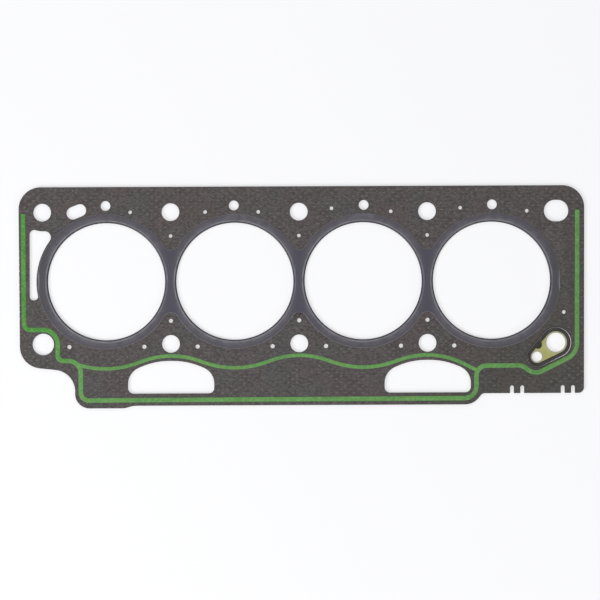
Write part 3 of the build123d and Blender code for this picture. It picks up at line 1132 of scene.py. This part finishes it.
@dataclass
class BeadPrint:
    """Green print: the thick line round the edge and the thin wave that it feeds."""

    thick_mm: float = 3.4
    thick_start: tuple[float, float] = (-191.3, 47.1)
    thick_corners: tuple[Corner, ...] = (
        Corner(-190.84, -33.2, 4.5),
        Corner(-167.5, -33.2, 10.1),
        Corner(-167.5, -54.8, 4.0),
        Corner(-151.6, -54.8, 8.5),
        Corner(-151.6, -82.3, 5.5),
        Corner(122.8, -81.7, 8.5),
        Corner(122.8, -59.2, 7.0),
        Corner(155.2, -59.2, 8.35),
        Corner(162.5, -66.05, 9.5),
        Corner(192.6, -51.0, 12.0),
    )
    thick_end: tuple[float, float] = (193.15, 48.6)
    thin_mm: float = 2.7
    thin_start: tuple[float, float] = (-153.91, -57.38)
    thin_corners: tuple[Corner, ...] = (
        Corner(-133.5, -63.6, 63.0),
        Corner(-89.0, -48.5, 56.0),
        Corner(-44.5, -63.5, 63.0),
        Corner(0.0, -48.4, 56.0),
        Corner(44.5, -63.4, 63.0),
        Corner(89.0, -48.4, 56.0),
        Corner(109.77, -55.7, 30.0),
    )
    thin_end: tuple[float, float] = (124.31, -62.92)

    def build(self) -> tuple[bpy.types.Object, bpy.types.Object]:
        """Makes the print of the head side and its twin on the block side.

        Returns:
            Both finished pieces.
        """
        upper = PrintedLine(
            "upper_bead_print",
            self.thick_mm,
            self.thick_start,
            self.thick_corners,
            self.thick_end,
        ).build()
        thin = PrintedLine(
            "thin_line", self.thin_mm, self.thin_start, self.thin_corners, self.thin_end
        ).build()
        only(upper)
        thin.select_set(True)
        bpy.ops.object.join()
        lower = bpy.data.objects.new("lower_bead_print", upper.data.copy())
        bpy.context.scene.collection.objects.link(lower)
        only(lower)
        bpy.ops.object.mode_set(mode="EDIT")
        bpy.ops.mesh.select_all(action="SELECT")
        middle = (0.0, 0.0, MIDDLE_MM * MM)
        bpy.ops.transform.resize(value=(1.0, 1.0, -1.0), center_override=middle)
        bpy.ops.mesh.normals_make_consistent(inside=False)
        bpy.ops.object.mode_set(mode="OBJECT")
        dress(upper, PRINT, Slot.PRINT, "upper_bead")
        dress(lower, PRINT, Slot.PRINT, "lower_bead")
        return upper, lower


@dataclass
class OilPort:
    """Port plate in its moulded seal."""

    coin_round_mm: float = 0.05
    coin_segments: int = 2
    coin_degrees: float = 40.0
    seal_degrees: float = 35.0
    body_mm: float = 0.65
    lip_parting_mm: float = 1.275
    inner_lip_height: float = 0.6

    def build(self) -> tuple[bpy.types.Object, bpy.types.Object]:
        """Makes the plate with softened coined edges, and the seal.

        Returns:
            Both finished pieces.
        """
        plate = merged_copy("oil_port_plate", "oil_port_stamping")
        apply_modifier(
            plate,
            "BEVEL",
            width=self.coin_round_mm * MM,
            segments=self.coin_segments,
            limit_method="ANGLE",
            angle_limit=math.radians(self.coin_degrees),
            use_clamp_overlap=False,
        )
        smooth(plate, self.coin_degrees)
        apply_modifier(plate, "WEIGHTED_NORMAL", keep_sharp=True)
        dress(plate, PLATE, Slot.PLATE, "oil_port_plate")
        seal = merged_copy("oil_port_seal", "oil_port_moulding")
        self.sink_inner_lips(seal, plate)
        smooth(seal, self.seal_degrees)
        apply_modifier(seal, "WEIGHTED_NORMAL", keep_sharp=True)
        dress(seal, SEAL, Slot.SEAL, "oil_port_seal")
        return plate, seal

    def sink_inner_lips(self, seal: bpy.types.Object, plate: bpy.types.Object) -> None:
        """Lowers the inner lip of each face, so that the outer one seals first.

        Args:
            seal: Seal that is reshaped.
            plate: Plate that the lips run round.
        """
        only(seal)
        bpy.ops.object.mode_set(mode="EDIT")
        for upward in (1.0, -1.0):
            bpy.ops.mesh.select_all(action="DESELECT")
            mesh = bmesh.from_edit_mesh(seal.data)
            for vert in mesh.verts:
                rise = upward * (vert.co.z / MM - MIDDLE_MM) - self.body_mm
                level = Vector((vert.co.x, vert.co.y, MIDDLE_MM * MM))
                _, nearest, _, _ = plate.closest_point_on_mesh(level)
                inner = (nearest - level).length < self.lip_parting_mm * MM
                vert.select_set(rise > TOLERANCE_MM and inner)
            mesh.select_flush_mode()
            bmesh.update_edit_mesh(seal.data)
            foot = (0.0, 0.0, (MIDDLE_MM + upward * self.body_mm) * MM)
            bpy.ops.transform.resize(
                value=(1.0, 1.0, self.inner_lip_height), center_override=foot
            )
        bpy.ops.object.mode_set(mode="OBJECT")


@dataclass
class SteelCore:
    """Steel sheet between the facings, kept as it is packed."""

    def dress(self) -> None:
        """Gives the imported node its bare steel."""
        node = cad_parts["steel_core"]
        for slot in node.material_slots:
            slot.material = CORE.build()
        LOG.info("steel_core keeps its packed mesh")


# Studio


@dataclass(frozen=True)
class SoftBox:
    """Square soft light: its name, place and side in metres, and power in watts."""

    name: str
    place_m: tuple[float, float, float]
    side_m: float
    power_w: float


@dataclass
class Studio:
    """Pale table, soft lights and the camera straight above the gasket."""

    boxes: tuple[SoftBox, ...] = (
        SoftBox("left_box", (-1.35, -0.9, 1.1), 0.9, 25.0),
        SoftBox("window_box", (0.1, 1.2, 1.0), 0.9, 4.5),
        SoftBox("near_box", (1.1, -1.15, 0.6), 0.6, 6.0),
    )
    room_colour: str = "#F4F5F8"
    room_strength: float = 0.42
    table_colour: str = "#F2F2F3"
    table_roughness: float = 0.9
    table_side_m: float = 6.0
    table_level_mm: float = -0.052
    glow_colour: str = "#FBFBFD"
    glow_share: float = 0.5
    glow_strength: float = 1.17
    distance_mm: float = 1500.0
    pixels_per_mm: float = 1.4405
    image_px: int = 600
    aim_mm: tuple[float, float] = (0.62, -13.21)
    roll_degrees: float = -0.24
    sensor_mm: float = 36.0
    clip_m: float = 20.0

    def table(self) -> None:
        """Adds the white table, which keeps the gasket's shadow."""
        bpy.ops.object.select_all(action="DESELECT")
        bpy.ops.mesh.primitive_plane_add(
            size=self.table_side_m, location=(0.0, 0.0, self.table_level_mm * MM)
        )
        table = bpy.context.object
        table.name = "table"
        material = bpy.data.materials.new("white_table")
        material.use_nodes = True
        tree = material.node_tree
        shader = tree.nodes["Principled BSDF"]
        shader.inputs["Base Color"].default_value = linear(self.table_colour)
        shader.inputs["Roughness"].default_value = self.table_roughness
        # part of the table's white is its own, as the camera and shiny metal see it
        ray = add_node(tree, "ShaderNodeLightPath", {})
        mirrored = add_node(
            tree,
            "ShaderNodeMath",
            {0: ray["Is Glossy Ray"], 1: ray["Is Transmission Ray"]},
            operation="MAXIMUM",
        )[0]
        seen = add_node(
            tree, "ShaderNodeMath", {0: ray["Is Camera Ray"], 1: mirrored}, operation="MAXIMUM"
        )[0]
        share = add_node(
            tree, "ShaderNodeMath", {0: seen, 1: self.glow_share}, operation="MULTIPLY"
        )[0]
        glow = add_node(
            tree,
            "ShaderNodeEmission",
            {"Color": linear(self.glow_colour), "Strength": self.glow_strength},
        )[0]
        blend = add_node(
            tree, "ShaderNodeMixShader", {0: share, 1: shader.outputs[0], 2: glow}
        )[0]
        tree.links.new(blend, tree.nodes["Material Output"].inputs["Surface"])
        table.data.materials.append(material)

    def lights(self) -> None:
        """Adds the soft boxes, turned to the gasket, and the even light of the room."""
        for box in self.boxes:
            light = bpy.data.lights.new(box.name, "AREA")
            light.shape = "SQUARE"
            light.size = box.side_m
            light.energy = box.power_w
            holder = bpy.data.objects.new(box.name, light)
            holder.location = box.place_m
            holder.rotation_euler = (-Vector(box.place_m)).to_track_quat("-Z", "Y").to_euler()
            bpy.context.scene.collection.objects.link(holder)
        world = bpy.data.worlds.new("room")
        world.use_nodes = True
        room = world.node_tree.nodes["Background"]
        room.inputs["Color"].default_value = linear(self.room_colour)
        room.inputs["Strength"].default_value = self.room_strength
        bpy.context.scene.world = world

    def camera(self) -> None:
        """Adds the camera, which looks straight down."""
        view = bpy.data.cameras.new("copy_stand")
        view.sensor_width = self.sensor_mm
        frame_mm = self.image_px / self.pixels_per_mm
        view.lens = self.sensor_mm * self.distance_mm / frame_mm
        view.clip_end = self.clip_m
        holder = bpy.data.objects.new("copy_stand", view)
        x, y = self.aim_mm
        holder.location = (x * MM, y * MM, self.distance_mm * MM)
        holder.rotation_euler = (0.0, 0.0, math.radians(self.roll_degrees))
        bpy.context.scene.collection.objects.link(holder)
        bpy.context.scene.camera = holder

    def build(self) -> None:
        """Adds camera, table and lights, and sets plain colour."""
        self.camera()
        self.table()
        self.lights()
        bpy.context.scene.view_settings.view_transform = "Standard"


def main() -> None:
    """Builds the studio and then each sub-assembly of the gasket."""
    logging.basicConfig(level=logging.INFO, format="%(name)s: %(message)s")
    Studio().build()
    upper_bead, lower_bead = BeadPrint().build()
    FacingSheet(Side.HEAD, upper_bead).build()
    FacingSheet(Side.BLOCK, lower_bead).build()
    SteelCore().dress()
    BoreFlange().build()
    OilPort().build()


if __name__ == "__main__":
    main()
